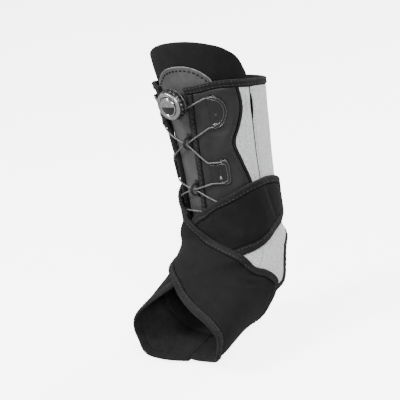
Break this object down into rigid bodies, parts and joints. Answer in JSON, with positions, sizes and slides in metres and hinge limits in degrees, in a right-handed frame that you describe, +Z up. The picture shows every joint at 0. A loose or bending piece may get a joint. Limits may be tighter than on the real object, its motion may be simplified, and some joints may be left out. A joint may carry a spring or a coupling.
{
  "type": "ankle brace",
  "caption": "Worn lace-up ankle brace for a right foot: a dial tightens a thin lace over a padded tongue, and wide soft straps cross over the instep. Heel and toes stay open.",
  "frame": {"origin": "centre of the ankle that the brace is worn on, midway between its two bony knobs", "axes": "+Z up the shin, -Y towards the toes, +X to the inner side of the right foot"},
  "size_m": [0.093, 0.1283, 0.2446],
  "materials": {
    "neoprene": "foam with a matte knit face",
    "leather": "fine grain synthetic leather",
    "webbing": "woven tape",
    "loop_fabric": "brushed loop fabric",
    "hard_plastic": "fine satin",
    "satin_metal": "bright",
    "lace_fibre": "smooth braid"
  },
  "bodies": {
    "brace": {"tongue": "neoprene", "tongue_pad": "leather", "top_binding": "webbing", "inner_shell": "leather", "inner_front_strip": "webbing", "inner_back_piping": "webbing", "outer_shell": "leather", "outer_front_strip": "webbing", "outer_back_piping": "webbing", "sleeve_inner_side": "loop_fabric", "sleeve_outer_side": "loop_fabric", "sleeve_back": "loop_fabric", "heel_binding": "webbing", "instep_panel": "loop_fabric", "sole_panel": "loop_fabric", "wing_under": "neoprene", "wing_under_binding": "webbing", "wing_over": "neoprene", "wing_over_binding": "webbing", "inner_crescent_guide": "hard_plastic", "outer_crescent_guide": "hard_plastic", "inner_rect_guide": "hard_plastic", "outer_rect_guide": "hard_plastic", "inner_lower_guide": "hard_plastic", "outer_lower_guide": "hard_plastic", "lacing_loop_1": "webbing", "lacing_loop_2": "webbing", "dial_base": "hard_plastic", "lace": "lace_fibre"},
    "hub": {"dial_hub": "satin_metal"},
    "knob": {"dial_knob": "hard_plastic"}
  },
  "joints": [
    {"name": "dial_pull", "type": "slide", "parent": "brace", "child": "hub", "axis": [-0.0115, -0.9832, -0.1821], "range_m": [0, 0.0025]},
    {"name": "dial_turn", "type": "hinge", "parent": "hub", "child": "knob", "pos_m": [-0.00143, -0.04945, 0.12796], "axis": [-0.0115, -0.9832, -0.1821], "continuous": true}
  ]
}
